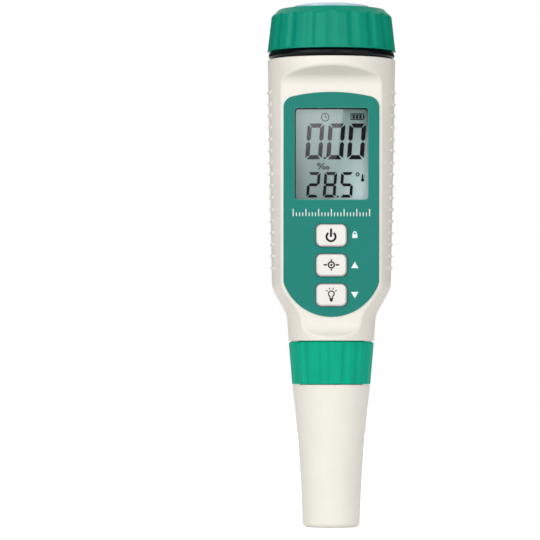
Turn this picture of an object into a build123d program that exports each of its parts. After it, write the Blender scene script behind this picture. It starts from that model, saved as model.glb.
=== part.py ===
from build123d import *
import os
from math import cos, radians, sin, sqrt, tan

# Pen-type salinity meter. All sizes are in millimetres and degrees.
# The pen stands on its probe cap, Z runs up its axis, and the display faces -Y.

# Fits and gaps
slip = 0.1  # radial gap of a sliding fit
snug = 0.05  # gap of a seated piece
joint_gap = 0.15  # visible gap between the stacked outer pieces
thread_gap = 0.3  # radial gap over a thread's crest

# Probe and its cap
probe_cap_length = 42.0
probe_cap_foot_r = 8.4
probe_cap_waist_r = 9.36
probe_cap_lip = 2.15  # wall at the open end
probe_cap_wall = 1.4  # wall at the closed end
probe_cap_floor = 2.0
probe_cap_corner = 1.5
probe_cap_edge = 0.3
probe_socket_depth = 6.2
probe_socket_step = 0.38
probe_tip_z = 8.5
barrel_r = 6.3
boss_r = 9.3
boss_height = 7.5
boss_cone = 3.0
chamber_r = 5.0
chamber_depth = 9.5
chamber_slot = 5.2
electrode_plate = 3.0
probe_bore_r = 4.6
probe_top_plate = 2.5
plug_r = 8.1
plug_length = 7.1
plug_key_width = 1.6
plug_key_height = 0.8
flange_height = 2.35
flange_lip = 0.7
plug_seal_section = 1.5
electrode_r = 0.8
electrode_spread = 3.35
electrode_reach = 7.5
sensor_r = 1.2
sensor_reach = 1.2
lead_r = 0.35
contact_pin_r = 0.5
contact_pin_length = 4.5
contact_pitch = 2.6
contact_count = 4
contact_socket_wall = 0.5

# Probe collar
collar_length = 12.65
collar_wall = 1.8
collar_taper = 1.05
collar_floor = 1.85
collar_corner = 1.0
collar_edge = 0.4
spigot_wall = 1.55
spigot_length = 8.4
collar_thread_pitch = 2.5
collar_thread_turns = 1.5

# Thread ridges
ridge_height = 0.75
ridge_root = 1.2
ridge_crest = 0.6
ridge_sink = 0.2

# Flutes of the two green grips
flute_count = 18
collar_flute_r = 1.7
collar_flute_depth = 0.5
collar_flute_edge = 1.0
cap_flute_r = 2.6
cap_flute_depth = 0.6
cap_flute_edge = 1.8
grip_spare = 1.0  # length of fluted drum that is trimmed off at each end
grip_skin = 0.15  # how far the trimming profile stands off the ridges

# Button cells and their carrier
cell_r = 5.8
cell_height = 5.4
cell_play = 0.15
cells_per_column = 2
column_web = 1.1
carrier_wall = 0.85
carrier_floor = 1.4
carrier_shelf = 1.5
carrier_roof = 1.6
carrier_play = 0.4
column_y = 0.6
bridge_room = 1.4
bridge_thickness = 0.3
bridge_width = 6.0
terminal_thickness = 0.2
terminal_r = 3.0
terminal_leg_r = 1.2
swivel_room = 2.3
swivel_shoulder_r = 2.2
swivel_head_r = 3.6
swivel_head_height = 1.3
swivel_thread_r = 0.95
swivel_thread_length = 2.0

# Battery neck and cap
neck_wall = 1.9
neck_height = 9.4
neck_seat_height = 2.4
neck_flange_height = 1.4
neck_rim_wall = 1.0
bay_wall = 1.4
bay_gap = 0.2
cap_wall = 2.45
cap_length = 12.5
cap_roof = 2.3
cap_boss_r = 3.5
cap_thread_pitch = 3.0
cap_thread_turns = 1.5
cap_taper = 1.15
cap_chamfer_height = 2.4
cap_chamfer_width = 2.3
cap_shoulder_curve = 2.5
cap_top_curve = 0.7
cap_rim_ring = 0.45
seal_section = 2.3
seal_inset = 0.3  # how far the seal stays inside the cap's rim
dome_r = 11.4
dome_rise = 2.3
dome_side = 1.0
dome_edge = 0.8
dome_recess = 0.4

# Housing
housing_wall = 1.8
housing_step = 0.1  # how much the housing is narrower than the cap's rim
housing_taper = 1.31
throat_flare = 0.52
throat_height = 7.55
shoulder_height = 15.55
throat_curve = 8.0
shoulder_curve = 7.0
top_edge = 0.35
face_tilt = 1.7
face_border = 0.6
brow_drop = 6.1
brow_angle = 25.3
brow_curve = 3.5
chin_rise = 3.35
chin_angle = 36.5
chin_curve = 4.0
face_edge = 1.1
tongue_inset = 0.6
tongue_thickness = 0.6
tongue_depth = 0.8
mount_ring_z = 0.55
mount_ring_height = 0.8
mount_ring_lip = 0.8
mount_height = 4.5

# Grip ribs on both sides
rib_count = 16
rib_pitch = 3.456
rib_r = 0.45
rib_height = 0.4
rib_front_angle = 17
rib_rear_angle = 32
rib_top_drop = 9.8

# Display, label and keys
window_width = 21.6
window_height = 26.95
window_corner = 0.9
window_margin = 0.15
lens_lip = 0.9
lens_ledge = 1.1
glass_border = 1.2
glass_thickness = 2.0
glass_room = 0.65
frame_wall = 0.9
frame_lip = 0.55
guide_thickness = 2.2
strip_width = 2.0
label_border = 3.25
label_top_border = 4.68
label_thickness = 0.3
label_top_curve = 51.0
label_corner = 3.3
label_bottom_bulge = 0.75  # lower arc's radius beyond half the label's width
label_bottom_corner = 2.3
label_bottom_border = 6.4
key_width = 9.06
key_height = 6.63
key_corner = 1.7
key_soft_edge = 0.55
key_pitch = 8.74
key_count = 3
key_rise = 1.0
key_travel = 0.5
key_flange_lip = 0.8
key_flange_thickness = 0.8
key_foot = 0.35
display_to_keys = 23.95
keys_to_base = 13.35
mat_wall = 1.2
mat_skin = 0.8
mat_border = 2.2
switch_size = 4.5
switch_height = 2.0
switch_button_r = 1.2

# Circuit board
board_thickness = 1.6
board_depth = 7.5
board_side = 0.5
chip_drop = 17.4  # from the board's top edge to the controller's centre
board_margin = 1.3
board_gap = 1.1
board_tail_width = 18.0
board_tail_length = 4.5
board_tail_slope = 7.0
board_tail_rise = 6.5
boss_radius = 2.0
screw_r = 0.95
screw_head_r = 1.75
screw_head_height = 1.3
screw_length = 5.0
upper_screw_side = 2.2
upper_screw_drop = 3.3
lower_screw_gap = 0.87
tail_gap = 0.015  # from the board's back to the socket tails
chip_size = 10.0
chip_height = 1.6
amplifier_length = 5.0
amplifier_width = 4.0
amplifier_height = 1.4
can_r = 2.5
can_height = 5.0
crystal_length = 8.0
crystal_width = 3.2
crystal_height = 2.6
contact_blade_width = 3.0
contact_blade = 0.3
contact_blade_length = 6.0

# Radii that follow from what each piece holds
spigot_bore_r = plug_r + slip
spigot_r = spigot_bore_r + spigot_wall
collar_bore_r = spigot_r + ridge_height + thread_gap
collar_top_r = collar_bore_r + collar_wall
collar_bottom_r = collar_top_r - collar_taper
collar_ring_r = boss_r + joint_gap
flange_r = boss_r + flange_lip
probe_socket_r = boss_r + slip
probe_cap_lip_r = probe_socket_r + probe_cap_lip - snug
column_x = cell_r + cell_play + column_web / 2
carrier_r = column_x + cell_r + cell_play + carrier_wall
neck_bore_r = carrier_r + 2 * slip
neck_r = neck_bore_r + neck_wall
cap_bore_r = neck_r + ridge_height + ridge_sink / 2 + thread_gap
housing_base_r = collar_top_r

# Sizes that follow from what is stacked
cell_stack = cells_per_column * cell_height
frame_width = window_width + 2 * (glass_border + frame_wall)
frame_height = window_height + 2 * (glass_border + frame_wall) + 1.0
board_width = frame_width + 2 * board_side
upper_screw_x = board_width / 2 - upper_screw_side
lower_screw_x = key_width / 2 + mat_border + boss_radius + lower_screw_gap
bay_reach = (
    carrier_play + carrier_floor + terminal_thickness + cell_stack
    + bridge_room + carrier_shelf + swivel_room
)
display_drop = (
    bay_reach - joint_gap - neck_height + bay_wall + board_gap + board_margin
    + frame_height / 2
)
collar_z = probe_cap_length + joint_gap
housing_z = collar_z + collar_length + joint_gap
last_key_z = housing_z + keys_to_base
display_z = last_key_z + (key_count - 1) * key_pitch + display_to_keys
housing_top_z = display_z + display_drop
cap_z = housing_top_z + seal_section + joint_gap
cap_top_z = cap_z + cap_length
throat_z = housing_z + throat_height
shoulder_z = housing_z + shoulder_height
spigot_z = housing_z - spigot_length
flange_z = spigot_z - slip - flange_height
plug_z = flange_z + flange_height
plug_top_z = plug_z + plug_length
neck_top_z = housing_top_z + neck_height
carrier_roof_z = neck_top_z + joint_gap
carrier_top_z = carrier_roof_z + carrier_roof
carrier_z = carrier_roof_z - bay_reach + carrier_play
cell_z = carrier_z + carrier_floor + terminal_thickness
bay_floor_z = carrier_z - carrier_play
bay_z = bay_floor_z - bay_wall
board_top_z = bay_z - board_gap
mount_top_z = housing_z + mount_height
board_tail_z = mount_top_z + board_tail_rise / 3

# The flat front leans by face_tilt, and the board behind it just clears the probe's sockets
lean = tan(radians(face_tilt))
face_depth = (
    (board_depth + board_thickness) / cos(radians(face_tilt)) + contact_pin_r + tail_gap
    + lean * (display_z - board_tail_z)
)

# The flat is as wide as the label and its border. The housing is as wide as the cap's thread
# needs, or wider where the flat needs it
label_width = window_width + 2 * label_border
face_half = label_width / 2 + face_border
display_taper = housing_taper * display_drop / (housing_top_z - shoulder_z)
cap_rim_r = max(
    cap_bore_r + cap_wall,
    sqrt(face_half**2 + face_depth**2) + display_taper + housing_step,
)
housing_top_r = cap_rim_r - housing_step
neck_flange_r = housing_top_r - neck_rim_wall
neck_seat_r = cap_rim_r - seal_inset - seal_section - joint_gap
shoulder_r = housing_top_r - housing_taper
face_plane = Plane(
    origin=(0, -face_depth, display_z),
    x_dir=(1, 0, 0),
    z_dir=(0, -cos(radians(face_tilt)), -sin(radians(face_tilt))),
)


def level(depth):
    """Plane that lies depth below the flat front, with Y up the pen."""
    return face_plane.offset(-depth)


def face_y(z):
    """Y of the flat front at a height."""
    return -face_depth - (z - display_z) * lean


def save(piece, name):
    """Names a finished piece and writes it."""
    piece.part.label = name
    export_step(piece.part, "parts/" + name + ".step")


def housing_turning(inset):
    """Round body of the housing, moved inwards by inset."""
    with BuildPart() as turning:
        with BuildSketch(Plane.XZ):
            with BuildLine():
                side = FilletPolyline(
                    (housing_base_r - inset, housing_z),
                    (housing_base_r + throat_flare - inset, throat_z),
                    (shoulder_r - inset, shoulder_z),
                    (housing_top_r - inset, housing_top_z),
                    radius=(throat_curve, shoulder_curve),
                )
                Polyline(side @ 1, (0, housing_top_z), (0, housing_z), side @ 0)
            make_face()
        revolve(axis=Axis.Z)
    return turning.part


def front_relief(inset):
    """Block in front of the flat face, under the brow and over the chin."""
    brow_z = housing_top_z - brow_drop
    chin_z = housing_z + chin_rise
    reach = 2 * housing_top_r
    with BuildPart() as relief:
        with BuildSketch(Plane.YZ):
            with BuildLine():
                rim = FilletPolyline(
                    (-reach, chin_z - (reach + face_y(chin_z)) * tan(radians(chin_angle))),
                    (face_y(chin_z), chin_z),
                    (face_y(brow_z), brow_z),
                    (-reach, brow_z + (reach + face_y(brow_z)) * tan(radians(brow_angle))),
                    radius=(chin_curve, brow_curve),
                )
                Line(rim @ 1, rim @ 0)
            make_face()
            if inset:
                offset(amount=inset, kind=Kind.INTERSECTION)
        extrude(amount=reach, both=True)
    return relief.part


def parting_band(inset, thickness, depth):
    """Strip along the parting plane, inside the wall and between the two ends."""
    band_z = housing_z + mount_ring_z + mount_ring_height + 1
    band_top_z = housing_top_z - neck_flange_height - 1
    with BuildPart() as band:
        add(housing_turning(inset))
        add(housing_turning(inset + thickness), mode=Mode.SUBTRACT)
        with BuildSketch(Plane.XY.offset(band_z)):
            Rectangle(4 * housing_top_r, depth, align=(Align.CENTER, Align.MAX))
        extrude(amount=band_top_z - band_z, mode=Mode.INTERSECT)
    return band.part


def grip_ribs():
    """Rows of rounded ribs on both sides of the housing."""
    slope = housing_taper / (housing_top_z - shoulder_z)
    heights = [housing_top_z - rib_top_drop - i * rib_pitch for i in range(rib_count)]
    radii = [housing_top_r - slope * (housing_top_z - z) + rib_height - rib_r for z in heights]
    with BuildPart() as ribs:
        with BuildSketch(Plane.XZ.rotated((0, 0, -rib_front_angle))):
            for r, z in zip(radii, heights):
                with Locations((r, z)):
                    Circle(rib_r)
        revolve(axis=Axis.Z, revolution_arc=rib_front_angle + rib_rear_angle)
        for r, z in zip(radii, heights):
            for angle in (-rib_front_angle, rib_rear_angle):
                with Locations((r * cos(radians(angle)), r * sin(radians(angle)), z)):
                    Sphere(rib_r)
        mirror(about=Plane.YZ)
    return ribs.part


def thread_ridge(root_r, crest_r, start_z, pitch, turns):
    """Right-hand helical ridge from root_r to crest_r, its root sunk into the wall."""
    base_r = root_r + (ridge_sink if crest_r < root_r else -ridge_sink)
    with BuildPart() as ridge:
        with BuildLine() as path:
            Helix(pitch=pitch, height=pitch * turns, radius=root_r, center=(0, 0, start_z))
        with BuildSketch(Plane.XZ):
            Polygon(
                (base_r, start_z - ridge_root / 2),
                (crest_r, start_z - ridge_crest / 2),
                (crest_r, start_z + ridge_crest / 2),
                (base_r, start_z + ridge_root / 2),
                align=None,
            )
        sweep(path=path.line, is_frenet=True)
    return ridge.part


def fluted_form(z, r, top_z, top_r, flute_r, flute_depth, flute_edge):
    """Tapered drum with rounded flutes, one centred on the front, that runs past both ends."""
    spare = grip_spare * (top_r - r) / (top_z - z)
    with BuildPart() as drum:
        for height, radius in ((z - grip_spare, r - spare), (top_z + grip_spare, top_r + spare)):
            with BuildSketch(Plane.XY.offset(height)) as section:
                Circle(radius)
                with PolarLocations(radius + flute_r - flute_depth, flute_count, -90):
                    Circle(flute_r, mode=Mode.SUBTRACT)
                fillet(section.vertices(), flute_edge)
        loft()
    return drum.part


def key_spots():
    """Places of the keys' centres on the flat front, the highest first."""
    return [(0, -display_to_keys - i * key_pitch) for i in range(key_count)]


def screw_spots():
    """Places of the board's screws on the flat front."""
    upper_y = -frame_height / 2 - upper_screw_drop
    lower_y = -display_to_keys - (key_count - 1.35) * key_pitch
    sides = (-1, 1)
    return [(s * upper_screw_x, upper_y) for s in sides] + [(s * lower_screw_x, lower_y) for s in sides]


def contact_spots():
    """X of the probe's contacts, side by side."""
    return [(i - (contact_count - 1) / 2) * contact_pitch for i in range(contact_count)]


os.makedirs("parts", exist_ok=True)

# Housing shells: one outer form, hollowed, then parted at the side plane
with BuildPart() as outer_form:
    add(housing_turning(0))
    fillet(outer_form.faces().sort_by(Axis.Z)[-1].edges(), top_edge)
    add(front_relief(0), mode=Mode.SUBTRACT)
    fillet(outer_form.edges(Select.LAST).filter_by(Axis.X, reverse=True), face_edge)
    add(grip_ribs())

with BuildPart() as inner_form:
    add(housing_turning(housing_wall))
    add(front_relief(housing_wall), mode=Mode.SUBTRACT)

mount_ring_r = housing_base_r - housing_wall + mount_ring_lip
with BuildPart() as housing_hollow:
    add(inner_form.part)
    with BuildSketch(Plane.XY.offset(housing_top_z - neck_flange_height)):
        Circle(neck_flange_r + snug)
    extrude(amount=neck_flange_height + 1)
    with BuildSketch(Plane.XY.offset(housing_z + mount_ring_z - snug)):
        Circle(mount_ring_r + snug)
    extrude(amount=mount_ring_height + 2 * snug)

lens_width = window_width + 2 * (window_margin + lens_ledge)
lens_height = window_height + 2 * (window_margin + lens_ledge)

with BuildPart() as front_shell:
    add(outer_form.part)
    add(housing_hollow.part, mode=Mode.SUBTRACT)
    split(bisect_by=Plane.XZ, keep=Keep.TOP)
    with BuildSketch(level(board_depth)):
        with Locations(*screw_spots()):
            Circle(boss_radius)
    extrude(amount=board_depth - housing_wall / 2)
    with BuildSketch(level(board_depth)):
        with Locations(*screw_spots()):
            Circle(screw_r + snug)
    extrude(amount=screw_length, mode=Mode.SUBTRACT)
    with BuildSketch(level(housing_wall + 1)):
        RectangleRounded(lens_width + 2 * snug, lens_height + 2 * snug, window_corner)
    extrude(amount=housing_wall + 1 - lens_lip, mode=Mode.SUBTRACT)
    with BuildSketch(level(housing_wall)):
        RectangleRounded(
            window_width + 2 * window_margin, window_height + 2 * window_margin, window_corner
        )
        with Locations(*key_spots()):
            RectangleRounded(key_width + 2 * joint_gap, key_height + 2 * joint_gap, key_corner)
    extrude(amount=housing_wall + 1, mode=Mode.SUBTRACT)
    add(
        parting_band(tongue_inset - snug, tongue_thickness + 2 * snug, tongue_depth + snug),
        mode=Mode.SUBTRACT,
    )
save(front_shell, "front_shell")

with BuildPart() as rear_shell:
    add(outer_form.part)
    add(housing_hollow.part, mode=Mode.SUBTRACT)
    split(bisect_by=Plane.XZ, keep=Keep.BOTTOM)
    add(parting_band(tongue_inset, tongue_thickness, tongue_depth))
save(rear_shell, "rear_shell")

# Battery neck: threaded spout over the shells and the tub below it
bay_flat_y = face_y(housing_top_z - brow_drop) + housing_wall + bay_gap
bay_outer_r = neck_bore_r + bay_wall
cap_ridge_z = housing_top_z + neck_seat_height + ridge_root
with BuildPart() as battery_neck:
    with BuildSketch(Plane.XY.offset(bay_z)):
        Circle(bay_outer_r)
        with Locations((0, bay_flat_y)):
            Rectangle(
                2 * bay_outer_r, bay_outer_r, align=(Align.CENTER, Align.MAX), mode=Mode.SUBTRACT
            )
    extrude(amount=housing_top_z - bay_z)
    with BuildSketch(Plane.XY.offset(housing_top_z - neck_flange_height)):
        Circle(neck_flange_r)
    extrude(amount=neck_flange_height)
    with BuildSketch(Plane.XY.offset(housing_top_z)):
        Circle(neck_seat_r)
    extrude(amount=neck_seat_height)
    with BuildSketch(Plane.XY.offset(housing_top_z)):
        Circle(neck_r)
    extrude(amount=neck_height)
    chamfer(battery_neck.faces().sort_by(Axis.Z)[-1].edges(), ridge_sink)
    with BuildSketch(Plane.XY.offset(bay_floor_z)):
        Circle(neck_bore_r)
        with Locations((0, bay_flat_y + bay_wall)):
            Rectangle(
                2 * neck_bore_r, neck_bore_r, align=(Align.CENTER, Align.MAX), mode=Mode.SUBTRACT
            )
    extrude(amount=neck_top_z - bay_floor_z, mode=Mode.SUBTRACT)
    with BuildSketch(Plane.XY.offset(housing_top_z - neck_flange_height)):
        Circle(neck_bore_r)
    extrude(amount=neck_height + neck_flange_height, mode=Mode.SUBTRACT)
    with BuildSketch(Plane.XY.offset(bay_z)):
        with Locations((-column_x, column_y), (column_x, column_y)):
            Circle(terminal_leg_r + snug)
    extrude(amount=bay_wall, mode=Mode.SUBTRACT)
    add(thread_ridge(neck_r, neck_r + ridge_height, cap_ridge_z, cap_thread_pitch, cap_thread_turns))
save(battery_neck, "battery_neck")

seal_ring_r = neck_seat_r + joint_gap + seal_section / 2
with BuildPart() as neck_seal:
    with BuildSketch(Plane.XZ):
        with Locations((seal_ring_r, housing_top_z + snug + seal_section / 2)):
            Circle(seal_section / 2)
    revolve(axis=Axis.Z)
save(neck_seal, "neck_seal")

# Two contact blades run from the bay's floor down the back of the board
board_back_y = face_y(bay_z - contact_blade_length) + board_depth + board_thickness
with BuildPart() as battery_contacts:
    with BuildSketch(Plane.XY.offset(bay_z - contact_blade)):
        with Locations((-column_x, 0), (column_x, 0)):
            with Locations((0, board_back_y + slip)):
                Rectangle(
                    contact_blade_width,
                    column_y + contact_blade_width / 2 - board_back_y - slip,
                    align=(Align.CENTER, Align.MIN),
                )
    extrude(amount=contact_blade)
    with BuildSketch(Plane.XY.offset(bay_z - contact_blade_length)):
        with Locations((-column_x, board_back_y + slip), (column_x, board_back_y + slip)):
            Rectangle(contact_blade_width, contact_blade, align=(Align.CENTER, Align.MIN))
    extrude(amount=contact_blade_length)
    with BuildSketch(Plane.XY.offset(bay_z - contact_blade)):
        with Locations((-column_x, column_y), (column_x, column_y)):
            Circle(terminal_leg_r)
    extrude(amount=contact_blade + bay_wall + slip)
save(battery_contacts, "battery_contacts")

# Probe mount: threaded spigot under the housing, held by a ring between the shells
mount_core_r = housing_base_r - housing_wall - snug
mount_flat_y = face_y(housing_z + chin_rise) + housing_wall + bay_gap
collar_ridge_z = spigot_z + ridge_root
mount_plate_z = plug_top_z + slip
contact_socket_r = contact_pin_r + slip + contact_socket_wall
with BuildPart() as probe_mount:
    with BuildSketch(Plane.XY.offset(spigot_z)):
        Circle(spigot_r)
    extrude(amount=housing_z + mount_ring_z - spigot_z)
    with BuildSketch(Plane.XY.offset(housing_z + mount_ring_z)):
        Circle(mount_ring_r)
    extrude(amount=mount_ring_height)
    with BuildSketch(Plane.XY.offset(housing_z + mount_ring_z)):
        Circle(mount_core_r)
        with Locations((0, mount_flat_y)):
            Rectangle(
                2 * mount_core_r, mount_core_r, align=(Align.CENTER, Align.MAX), mode=Mode.SUBTRACT
            )
    extrude(amount=mount_height - mount_ring_z)
    with BuildSketch(Plane.XY.offset(spigot_z)):
        Circle(spigot_bore_r)
        with Locations((0, plug_r)):
            Rectangle(plug_key_width + 2 * slip, 2 * (plug_key_height + slip))
    extrude(amount=mount_plate_z - spigot_z, mode=Mode.SUBTRACT)
    with BuildSketch(Plane.XY.offset(mount_plate_z)):
        with Locations(*[(x, 0) for x in contact_spots()]):
            Circle(contact_socket_r + snug)
    extrude(amount=mount_top_z - mount_plate_z, mode=Mode.SUBTRACT)
    add(
        thread_ridge(
            spigot_r, spigot_r + ridge_height, collar_ridge_z, collar_thread_pitch, collar_thread_turns
        )
    )
save(probe_mount, "probe_mount")

# Sockets that take the probe's pins, with tails along the back of the board
socket_z = mount_plate_z + slip
socket_top_z = plug_top_z + contact_pin_length + 1
with BuildPart() as probe_sockets:
    with BuildSketch(Plane.XY.offset(socket_z)):
        with Locations(*[(x, 0) for x in contact_spots()]):
            Circle(contact_socket_r)
    extrude(amount=socket_top_z - socket_z)
    with BuildSketch(Plane.XY.offset(socket_top_z)):
        with Locations(*[(x, 0) for x in contact_spots()]):
            Circle(contact_pin_r)
    extrude(amount=board_tail_rise + board_tail_length - 1)
    with BuildSketch(Plane.XY.offset(socket_z)):
        with Locations(*[(x, 0) for x in contact_spots()]):
            Circle(contact_pin_r + slip)
    extrude(amount=contact_pin_length + slip, mode=Mode.SUBTRACT)
save(probe_sockets, "probe_sockets")

# Face label with a window and three key holes
label_top = window_height / 2 + label_top_border
label_bottom = -display_to_keys - (key_count - 1) * key_pitch - label_bottom_border
label_half = label_width / 2
label_bottom_curve = label_half + label_bottom_bulge
top_sag = label_top_curve - sqrt(label_top_curve**2 - label_half**2)
bottom_sag = label_bottom_curve - sqrt(label_bottom_curve**2 - label_half**2)
with BuildPart() as face_label:
    with BuildSketch(level(0)) as outline:
        with BuildLine():
            left = Line(
                (-label_half, label_bottom + bottom_sag), (-label_half, label_top - top_sag)
            )
            top = ThreePointArc(left @ 1, (0, label_top), (label_half, label_top - top_sag))
            right = Line(top @ 1, (label_half, label_bottom + bottom_sag))
            ThreePointArc(right @ 1, (0, label_bottom), left @ 0)
        make_face()
        fillet(outline.vertices().sort_by(Axis.Y)[-2:], label_corner)
        fillet(outline.vertices().sort_by(Axis.Y)[:2], label_bottom_corner)
        RectangleRounded(window_width, window_height, window_corner, mode=Mode.SUBTRACT)
        with Locations(*key_spots()):
            RectangleRounded(
                key_width + 2 * joint_gap,
                key_height + 2 * joint_gap,
                key_corner,
                mode=Mode.SUBTRACT,
            )
    extrude(amount=label_thickness)
save(face_label, "face_label")

with BuildPart() as display_lens:
    with BuildSketch(level(housing_wall)):
        RectangleRounded(lens_width, lens_height, window_corner)
    extrude(amount=housing_wall - lens_lip)
save(display_lens, "display_lens")

# Display stack: frame, glass, light guide and contact strips on the board
frame_front = housing_wall + slip
glass_front = housing_wall + glass_room
glass_back = glass_front + glass_thickness
glass_width = frame_width - 2 * frame_wall - 2 * snug
glass_height = frame_height - 2 * frame_wall - 2 * snug
with BuildPart() as display_frame:
    with BuildSketch(level(board_depth)):
        RectangleRounded(frame_width, frame_height, window_corner)
    extrude(amount=board_depth - frame_front)
    with BuildSketch(level(board_depth)):
        Rectangle(frame_width - 2 * frame_wall, frame_height - 2 * frame_wall)
    extrude(amount=board_depth - glass_front + snug, mode=Mode.SUBTRACT)
    with BuildSketch(level(board_depth)):
        Rectangle(
            frame_width - 2 * frame_wall - 2 * frame_lip,
            frame_height - 2 * frame_wall - 2 * frame_lip,
        )
    extrude(amount=board_depth, mode=Mode.SUBTRACT)
save(display_frame, "display_frame")

with BuildPart() as display_glass:
    with BuildSketch(level(glass_back)):
        Rectangle(glass_width, glass_height)
    extrude(amount=glass_thickness)
save(display_glass, "display_glass")

with BuildPart() as light_guide:
    with BuildSketch(level(glass_back + snug + guide_thickness)):
        Rectangle(glass_width, glass_height - 2 * strip_width - 4 * slip)
    extrude(amount=guide_thickness)
save(light_guide, "light_guide")

strip_y = glass_height / 2 - strip_width / 2 - slip
with BuildPart() as contact_strips:
    with BuildSketch(level(board_depth)):
        with Locations((0, -strip_y), (0, strip_y)):
            Rectangle(glass_width - 2 * slip, strip_width)
    extrude(amount=board_depth - glass_back)
save(contact_strips, "contact_strips")

# Circuit board with its tail, and what is soldered to it
board_top = (board_top_z - display_z) / cos(radians(face_tilt))
tail_bottom = -(display_z - mount_top_z) / cos(radians(face_tilt)) + board_tail_rise / 3
tail_top = tail_bottom + board_tail_length
with BuildPart() as main_board:
    with BuildSketch(level(board_depth + board_thickness)):
        with BuildLine():
            Polyline(
                (-board_width / 2, board_top),
                (board_width / 2, board_top),
                (board_width / 2, tail_top + board_tail_slope),
                (board_tail_width / 2, tail_top),
                (board_tail_width / 2, tail_bottom),
                (-board_tail_width / 2, tail_bottom),
                (-board_tail_width / 2, tail_top),
                (-board_width / 2, tail_top + board_tail_slope),
                close=True,
            )
        make_face()
        with Locations(*screw_spots()):
            Circle(screw_r + slip, mode=Mode.SUBTRACT)
    extrude(amount=board_thickness)
save(main_board, "main_board")

with BuildPart() as board_screws:
    with BuildSketch(level(board_depth + board_thickness)):
        with Locations(*screw_spots()):
            Circle(screw_r)
    extrude(amount=board_thickness + screw_length - slip)
    with BuildSketch(level(board_depth + board_thickness)):
        with Locations(*screw_spots()):
            Circle(screw_head_r)
    extrude(amount=-screw_head_height)
save(board_screws, "board_screws")

chip_back = level(board_depth + board_thickness)
chip_y = board_top - chip_drop
with BuildPart() as controller_chip:
    with BuildSketch(chip_back):
        with Locations((0, chip_y)):
            Rectangle(chip_size, chip_size)
    extrude(amount=-chip_height)
save(controller_chip, "controller_chip")

chip_row = -frame_height / 2 - upper_screw_drop
with BuildPart() as amplifier_chips:
    with BuildSketch(chip_back):
        with Locations((0, chip_row)):
            with GridLocations(amplifier_length + 2, 0, 2, 1):
                Rectangle(amplifier_length, amplifier_width)
    extrude(amount=-amplifier_height)
save(amplifier_chips, "amplifier_chips")

with BuildPart() as crystal:
    with BuildSketch(chip_back):
        with Locations((0, chip_y + (chip_size + crystal_width) / 2 + 1)):
            SlotOverall(crystal_length, crystal_width)
    extrude(amount=-crystal_height)
save(crystal, "crystal")

with BuildPart() as capacitor_cans:
    with BuildSketch(chip_back):
        with Locations((0, chip_y)):
            with GridLocations(chip_size + 2 * can_r + 2, 0, 2, 1):
                Circle(can_r)
    extrude(amount=-can_height)
save(capacitor_cans, "capacitor_cans")

# Tactile switches under a rubber mat that the keys press
key_back = housing_wall + snug + key_flange_thickness + key_foot
mat_front = key_back + key_travel + snug
with BuildPart() as key_switches:
    with BuildSketch(level(board_depth)):
        with Locations(*key_spots()):
            Rectangle(switch_size, switch_size)
    extrude(amount=switch_height)
    with BuildSketch(level(board_depth)):
        with Locations(*key_spots()):
            Circle(switch_button_r)
    extrude(amount=board_depth - mat_front - mat_skin - slip)
save(key_switches, "key_switches")

mat_width = key_width + 2 * mat_border
mat_height = (key_count - 1) * key_pitch + key_height + mat_border
mat_y = -display_to_keys - (key_count - 1) * key_pitch / 2
with BuildPart() as key_mat:
    with BuildSketch(level(board_depth)):
        with Locations((0, mat_y)):
            RectangleRounded(mat_width, mat_height, key_corner)
    extrude(amount=board_depth - mat_front)
    with BuildSketch(level(board_depth)):
        with Locations((0, mat_y)):
            RectangleRounded(mat_width - 2 * mat_wall, mat_height - 2 * mat_wall, key_corner / 2)
    extrude(amount=board_depth - mat_front - mat_skin, mode=Mode.SUBTRACT)
save(key_mat, "key_mat")

# Keys: a soft-edged head through the label and a flange behind the wall
for name, (x, y) in zip(("key_power", "key_calibrate", "key_light"), key_spots()):
    with BuildPart() as key:
        with BuildSketch(level(housing_wall + snug)):
            with Locations((x, y)):
                RectangleRounded(key_width, key_height, key_corner)
        extrude(amount=housing_wall + snug + label_thickness + key_rise)
        fillet(key.faces().sort_by(Axis.Y)[0].edges(), key_soft_edge)
        with BuildSketch(level(housing_wall + snug + key_flange_thickness)):
            with Locations((x, y)):
                RectangleRounded(
                    key_width + 2 * key_flange_lip, key_height + 2 * key_flange_lip, key_corner
                )
        extrude(amount=key_flange_thickness)
        with BuildSketch(level(key_back)):
            with Locations((x, y)):
                Circle(switch_button_r)
        extrude(amount=key_foot)
    save(key, name)

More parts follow.
